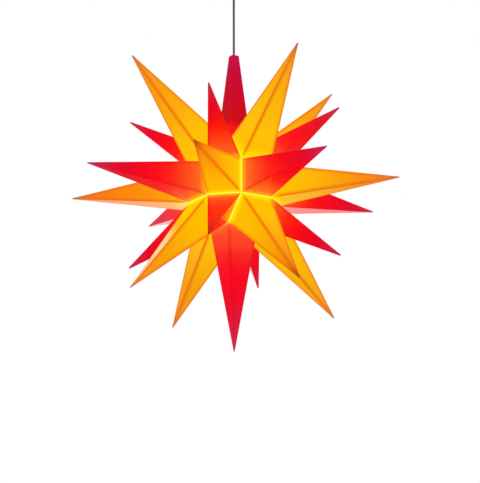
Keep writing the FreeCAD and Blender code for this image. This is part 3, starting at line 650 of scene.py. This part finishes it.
def worn_metal(name, colours, patches, rise, metallic, gloss, dents, stretch=(1, 1, 1)):
    """A metal whose one pattern changes its colour, gloss and surface together. Its values are as mottled()
    takes them, with the strength and height of the dents and the scaling that draws the pattern out."""
    material, flow = new_material(name)
    pattern = object_place(flow).stretched(stretch).speckle(*patches)
    least_rough, rough_spread = gloss
    finished(flow, {
        "Base Color": pattern.between(*rise).blend(*colours), "Metallic": metallic,
        "Roughness": least_rough + rough_spread * pattern, "Normal": pattern.dents(*dents),
    })
    return material


spring_steel = worn_metal(
    "spring_steel", (STEEL_COLOUR, STEEL_TINT), patches=(300.0, 3.0), rise=(0.4, 0.8),
    metallic=STEEL_METALLIC, gloss=(0.22, 0.18), dents=(0.08, 0.0003), stretch=(1, 1, 6),
)
clad([f"seam_clips_{band}" for band in ("upper", "middle", "lower")], spring_steel)


# ---------------------------------------------------------------- the lamp unit's metal and clamp
# A zinc plated steel plate stands on four lugs inside the top point, and a nut holds the lampholder's stud to
# it. A nylon clamp grips the cord under the point's roof.
ZINC_COLOUR = (0.74, 0.75, 0.77)
ZINC_BLOOM = (0.60, 0.62, 0.66)
SPANGLE_SCALE = 260.0  # of the zinc's crystals
SPANGLE_SHARE = 0.4
SPANGLE_ROUGHNESS = 0.14
BLOOM_SCALE = 90.0
BLOOM_SHARE = 0.6
ZINC_ROUGHNESS = 0.28
ZINC_STRENGTH = 0.1
ZINC_HEIGHT = 0.0003
NYLON_COLOUR = (0.66, 0.66, 0.63)
NYLON_SHADE = (0.58, 0.58, 0.54)

zinc_steel, flow = new_material("zinc_steel")
place = object_place(flow)
crystals = flow.node("ShaderNodeTexVoronoi", None, {"Vector": place, "Scale": SPANGLE_SCALE}, "Color")
spangle = flow.node("ShaderNodeSeparateColor", None, {0: crystals}, 0)
cloud = place.speckle(BLOOM_SCALE, 3.0)
bloom = (BLOOM_SHARE * cloud + SPANGLE_SHARE * spangle).held()
finished(flow, {
    "Base Color": bloom.blend(ZINC_COLOUR, ZINC_BLOOM), "Metallic": STEEL_METALLIC,
    "Roughness": ZINC_ROUGHNESS + SPANGLE_ROUGHNESS * spangle,
    "Normal": cloud.dents(ZINC_STRENGTH, ZINC_HEIGHT),
})
nylon = mottled(
    "nylon", (NYLON_COLOUR, NYLON_SHADE), patches=(70.0, 3.0), gloss=(0.48, 0.12),
    pits=(900.0, 0.12, 0.0003),
)
clad(["lamp_bracket", "holder_nut"], zinc_steel)
clad(["cord_clamp"], nylon)


# ---------------------------------------------------------------- lampholder
# A small screw holder: a stepped cap with a threaded stud and a ribbed skirt of white heat-proof plastic,
# round an unglazed ceramic core, a brass sleeve and a brass centre contact.
HOLDER_COLOUR = (0.78, 0.77, 0.73)
HOLDER_WARMED = (0.72, 0.66, 0.54)
CERAMIC_COLOUR = (0.80, 0.78, 0.71)
CERAMIC_SHADE = (0.72, 0.68, 0.60)
BRASS_COLOUR = (0.62, 0.44, 0.16)
BRASS_DULL = (0.42, 0.28, 0.10)
SKIRT_RADIUS = 0.013
SKIRT_BORE = 0.0114
SKIRT_RIBS = 36
RIB_CORNERS = 4  # corners of the skirt's outline for each rib and groove
RIB_DEPTH = 0.0004
SKIRT_SHARP = math.radians(25)

holder_plastic = mottled(
    "holder_plastic", (HOLDER_COLOUR, HOLDER_WARMED), patches=(60.0, 3.0), gloss=(0.38, 0.15),
    pits=(700.0, 0.1, 0.0003), rise=(0.4, 0.8),
)
ceramic = mottled(
    "socket_ceramic", (CERAMIC_COLOUR, CERAMIC_SHADE), patches=(120.0, 4.0), gloss=(0.75, 0.15),
    pits=(1100.0, 0.25, 0.0003),
)
brass = worn_metal(
    "brass_parts", (BRASS_COLOUR, BRASS_DULL), patches=(160.0, 4.0), rise=(0.45, 0.75), metallic=0.6,
    gloss=(0.24, 0.2), dents=(0.1, 0.0003),
)
clad(["holder_cap"], holder_plastic)
clad(["socket_core"], ceramic)
clad(["socket_sleeve", "centre_contact"], brass)


def smoothed(piece, sharp_from):
    """Shades a piece smooth, except where its faces turn by more than an angle."""
    piece.data.shade_smooth()
    piece.data.set_sharp_from_angle(angle=sharp_from)


skirt_low, skirt_high = (corner.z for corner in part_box("holder_skirt"))
skirt = bmesh.new()
bmesh.ops.create_circle(skirt, segments=SKIRT_RIBS * RIB_CORNERS, radius=SKIRT_RADIUS, cap_ends=False)
for number, corner in enumerate(sorted(skirt.verts, key=lambda v: math.atan2(v.co.y, v.co.x))):
    if number % RIB_CORNERS in (0, 1):
        corner.co *= 1 - RIB_DEPTH / SKIRT_RADIUS
outer_ring = list(skirt.edges)
walls = bmesh.ops.extrude_edge_only(skirt, edges=outer_ring)["geom"]
top_corners = [g for g in walls if isinstance(g, bmesh.types.BMVert)]
top_ring = [g for g in walls if isinstance(g, bmesh.types.BMEdge)]
bmesh.ops.translate(skirt, verts=top_corners, vec=(0, 0, skirt_high - skirt_low))
for ring in (outer_ring, top_ring):
    inner = bmesh.ops.extrude_edge_only(skirt, edges=ring)["geom"]
    for corner in [g for g in inner if isinstance(g, bmesh.types.BMVert)]:
        corner.co.xy = corner.co.xy.normalized() * SKIRT_BORE
inner_edges = [edge for edge in skirt.edges if edge.is_boundary]
bmesh.ops.bridge_loops(skirt, edges=inner_edges)
bmesh.ops.translate(skirt, verts=skirt.verts, vec=(0, 0, skirt_low))
bmesh.ops.recalc_face_normals(skirt, faces=skirt.faces)
skirt_piece = settled(skirt, "holder_skirt_ribbed", "lamp_unit", holder_plastic)
smoothed(skirt_piece, SKIRT_SHARP)
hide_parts("holder_skirt")


# ---------------------------------------------------------------- lamp
# A small clear tubular lamp, its blown glass cemented into a brass cap with a rolled screw thread. Four
# phosphor coated sticks stand on a pressed glass stem and make the light.
GLASS_TINT = (1.0, 0.985, 0.95)
GLASS_WALL = 0.0007
GLASS_IOR = 1.46
GLASS_ROUGHNESS = 0.02
SMEAR_SCALE = 60.0  # of the slightly duller patches
SMEAR_ROUGHNESS = 0.03
WAVE_SCALE = 45.0  # of the waves that blown glass has
WAVE_STRENGTH = 0.05
WAVE_HEIGHT = 0.0005
STICK_COLOUR = (0.8, 0.55, 0.2)
STICK_GLOW = (1.0, 0.62, 0.24)
STICK_PALE = (1.0, 0.78, 0.42)
STICK_STRENGTH = 3.0
PHOSPHOR_SCALE = 900.0
PHOSPHOR_ROUGHNESS = 0.6
BLACK_GLASS = (0.012, 0.012, 0.016)
BLACK_GLASS_GREY = (0.03, 0.03, 0.036)
BLACK_GLASS_SCALE = 300.0
BLACK_GLASS_ROUGHNESS = 0.12
THREAD_CREST = 0.0067
THREAD_ROOT = 0.0062
THREAD_PITCH = 0.0028
THREAD_START = 0.0022  # from the cap's lower end to its first groove
THREAD_END = 0.0020  # from its last groove to its upper end, at least
GROOVE_WIDTH = 0.0003
FLANK_END = 0.0013  # from a groove's start to the end of the slope beside it
CREST_END = 0.0017
CAP_WALL = 0.0004
TURNED_SHARP = math.radians(35)

clear_glass, flow = new_material("lamp_glass")
place = object_place(flow)
finished(flow, {
    "Base Color": (*GLASS_TINT, 1.0), "Transmission Weight": 1.0, "IOR": GLASS_IOR,
    "Roughness": GLASS_ROUGHNESS + SMEAR_ROUGHNESS * place.speckle(SMEAR_SCALE),
    "Normal": place.speckle(WAVE_SCALE).dents(WAVE_STRENGTH, WAVE_HEIGHT),
})
sticks, flow = new_material("filament_glow")
finished(flow, {
    "Base Color": (*STICK_COLOUR, 1.0), "Roughness": PHOSPHOR_ROUGHNESS,
    "Emission Color": object_place(flow).speckle(PHOSPHOR_SCALE).blend(STICK_GLOW, STICK_PALE),
    "Emission Strength": STICK_STRENGTH,
})
black_glass, flow = new_material("lamp_insulator")
finished(flow, {
    "Base Color": object_place(flow).speckle(BLACK_GLASS_SCALE).blend(BLACK_GLASS, BLACK_GLASS_GREY),
    "Roughness": BLACK_GLASS_ROUGHNESS,
})
clad(["lamp_filaments"], sticks)
clad(["lamp_insulator"], black_glass)
clad(["lamp_contact"], brass)
clad(["lamp_stem"], clear_glass)


def drawn(outline, closed=False):
    """A line through (radius, height) corners, ready to be spun."""
    shape = bmesh.new()
    corners = [shape.verts.new((radius, 0, height)) for radius, height in outline]
    for corner, following in zip(corners, corners[1:] + corners[:1] if closed else corners[1:]):
        shape.edges.new((corner, following))
    return shape


def turned(shape, steps):
    """Spins the line once round the Z axis and turns the faces outwards."""
    bmesh.ops.spin(
        shape, geom=list(shape.verts) + list(shape.edges), cent=(0, 0, 0), axis=(0, 0, 1), angle=math.tau,
        steps=steps, use_merge=True,
    )
    bmesh.ops.remove_doubles(shape, verts=shape.verts, dist=MERGE_REACH)
    bmesh.ops.recalc_face_normals(shape, faces=shape.faces)


def walled(shape, thickness):
    """Gives a turned sheet its wall, inwards."""
    bmesh.ops.solidify(shape, geom=shape.faces, thickness=thickness)
    bmesh.ops.recalc_face_normals(shape, faces=shape.faces)


glass_low, glass_high = (corner.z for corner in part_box("lamp_glass"))
# From the neck over the shoulder and down the tube to the round end.
glass = drawn([
    (0.0062, glass_high), (0.0062, glass_high - 0.0050), (0.0072, glass_high - 0.0072),
    (0.0098, glass_high - 0.0110), (0.0120, glass_high - 0.0145), (0.0129, glass_high - 0.0180),
    (0.0130, glass_high - 0.0230), (0.0130, glass_low + 0.0130), (0.0127, glass_low + 0.0095),
    (0.0116, glass_low + 0.0058), (0.0096, glass_low + 0.0029), (0.0066, glass_low + 0.0010),
    (0.0033, glass_low + 0.0002), (0.0, glass_low),
])
turned(glass, steps=64)
walled(glass, GLASS_WALL)
glass_piece = settled(glass, "lamp_glass_blown", "lamp", clear_glass)
smoothed(glass_piece, TURNED_SHARP)
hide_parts("lamp_glass")

cap_low, cap_high = (corner.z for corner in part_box("lamp_cap"))
thread = [(THREAD_CREST - CAP_WALL, cap_low), (THREAD_CREST, cap_low)]
level = cap_low + THREAD_START
while level < cap_high - THREAD_END:
    thread += [(THREAD_ROOT, level), (THREAD_ROOT, level + GROOVE_WIDTH)]
    thread += [(THREAD_CREST, level + FLANK_END), (THREAD_CREST, level + CREST_END)]
    level += THREAD_PITCH
thread += [(THREAD_ROOT, cap_high), (THREAD_ROOT - CAP_WALL, cap_high)]
cap = drawn(thread, closed=True)
turned(cap, steps=96)
cap_piece = settled(cap, "lamp_cap_threaded", "lamp", brass)
smoothed(cap_piece, TURNED_SHARP)
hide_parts("lamp_cap")


# ---------------------------------------------------------------- ceiling rose
# A shallow white moulded cup on a bent steel strap. Two side screws hold it, and inside are the cord's last
# stretch and a two-way terminal block.
ROSE_RADIUS = 0.040
ROSE_WALL = 0.0012
ROSE_ROUNDING = 0.0068
GRIP_HOLE = 0.0051  # radius of the hole for the cord grip
ROSE_COLOUR = (0.90, 0.90, 0.88)
ROSE_SHADE = (0.74, 0.74, 0.71)

rose_plastic = mottled(
    "rose_plastic", (ROSE_COLOUR, ROSE_SHADE), patches=(22.0, 3.0), gloss=(0.26, 0.1),
    pits=(420.0, 0.06, 0.0004),
)
rose_low, rose_high = (corner.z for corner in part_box("rose_cup"))
cup = drawn([(GRIP_HOLE, rose_low), (ROSE_RADIUS, rose_low), (ROSE_RADIUS, rose_high)])
cup.verts.ensure_lookup_table()
bmesh.ops.bevel(
    cup, geom=[cup.verts[1]], offset=ROSE_ROUNDING, offset_type="OFFSET", segments=7, profile=0.5,
    affect="VERTICES", material=-1,
)
turned(cup, steps=128)
middle_face = min(cup.faces, key=lambda face: face.calc_center_median().z)
if middle_face.normal.z > 0:
    bmesh.ops.reverse_faces(cup, faces=cup.faces)
walled(cup, ROSE_WALL)
cup_piece = settled(cup, "rose_cup_moulding", "rose", rose_plastic)
smoothed(cup_piece, TURNED_SHARP)
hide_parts("rose_cup")

clad(["ceiling_strap", "side_screws", "side_nuts", "terminal_screws"], zinc_steel)
clad(["cord_grip", "grip_nut", "terminal_block"], nylon)


# ---------------------------------------------------------------- room
# A plain pale floor well below the lamp, a white surround and two broad soft lights. The floor looks paler
# to the camera than it is to the object, and it is clear from below, so that it hides nothing.
FLOOR_LEVEL = -1.75
FLOOR_SIZE = 30.0
FLOOR_COLOUR = (0.82, 0.82, 0.81)
FLOOR_SHADE = (0.78, 0.78, 0.77)
FLOOR_CLOUD_SCALE = 0.6
FLOOR_PALER = 0.42

floor_paint, flow = new_material("pale_floor")
cloud = object_place(flow).speckle(FLOOR_CLOUD_SCALE, 3.0)
paint = flow.node("ShaderNodeBsdfDiffuse", None, {"Color": cloud.blend(FLOOR_COLOUR, FLOOR_SHADE)})
seen = flow.node("ShaderNodeLightPath", output="Is Camera Ray")
glow = flow.node("ShaderNodeEmission", None, {"Strength": FLOOR_PALER})
paler = flow.node("ShaderNodeAddShader", None, {0: paint, 1: glow})
upper_side = flow.node("ShaderNodeMixShader", None, {0: seen, 1: paint, 2: paler})
clear = flow.node("ShaderNodeBsdfTransparent")
under = flow.node("ShaderNodeNewGeometry", output="Backfacing")
floor_surface = flow.node("ShaderNodeMixShader", None, {0: under, 1: upper_side, 2: clear})
flow.node("ShaderNodeOutputMaterial", None, {"Surface": floor_surface})
ground = bmesh.new()
bmesh.ops.create_grid(ground, x_segments=1, y_segments=1, size=FLOOR_SIZE / 2)
bmesh.ops.translate(ground, verts=ground.verts, vec=(0, 0, FLOOR_LEVEL))
floor_mesh = bpy.data.meshes.new("floor")
ground.to_mesh(floor_mesh)
ground.free()
floor = bpy.data.objects.new("floor", floor_mesh)
floor_mesh.materials.append(floor_paint)
bpy.context.scene.collection.objects.link(floor)
floor.visible_glossy = False

BACKDROP_SIDE = Vector((-0.8825, 0.3544, 0.309))  # the white backdrop stands beyond the star
BACKDROP_EDGE = (0.77, 0.94)  # the cosines between which it begins
ROOM_LEVEL = 0.60  # of the light that falls on the object from all round
MIRROR_LEVEL = 1.70  # of the backdrop in the object's gloss
DIM_LEVEL = 0.06  # of the other sides in it

world = bpy.data.worlds.new("white_room")
world.use_nodes = True
world.node_tree.nodes.clear()
sky = Flow(world.node_tree)
direction = sky.node("ShaderNodeTexCoord", output="Generated")
towards = {0: direction, 1: BACKDROP_SIDE}
facing = sky.node("ShaderNodeVectorMath", {"operation": "DOT_PRODUCT"}, towards, "Value")
backdrop = facing.between(*BACKDROP_EDGE)
camera_ray = sky.node("ShaderNodeLightPath", output="Is Camera Ray")
glossy_ray = camera_ray.other("Is Glossy Ray")
clear_ray = camera_ray.other("Is Transmission Ray")
mirrored = glossy_ray * (DIM_LEVEL + (MIRROR_LEVEL - DIM_LEVEL) * backdrop)
other_ray = 1.0 - camera_ray.larger(glossy_ray).larger(clear_ray)
strength = camera_ray.larger(clear_ray).larger(mirrored) + ROOM_LEVEL * other_ray
background = sky.node("ShaderNodeBackground", None, {"Color": (1, 1, 1, 1), "Strength": strength})
sky.node("ShaderNodeOutputWorld", None, {"Surface": background})
bpy.context.scene.world = world


def soft_light(name, where, size, power):
    light = bpy.data.lights.new(name, "AREA")
    light.shape = "SQUARE"
    light.size = size
    light.energy = power
    lamp = bpy.data.objects.new(name, light)
    lamp.location = where
    lamp.rotation_euler = (STAR_CENTRE - Vector(where)).to_track_quat("-Z", "Y").to_euler()
    bpy.context.scene.collection.objects.link(lamp)


soft_light("soft_light_near", where=(1.92, -1.19, 1.98), size=1.6, power=10)
soft_light("soft_light_right", where=(0.79, 1.97, 1.84), size=1.2, power=6)

bpy.context.scene.view_settings.view_transform = "Standard"
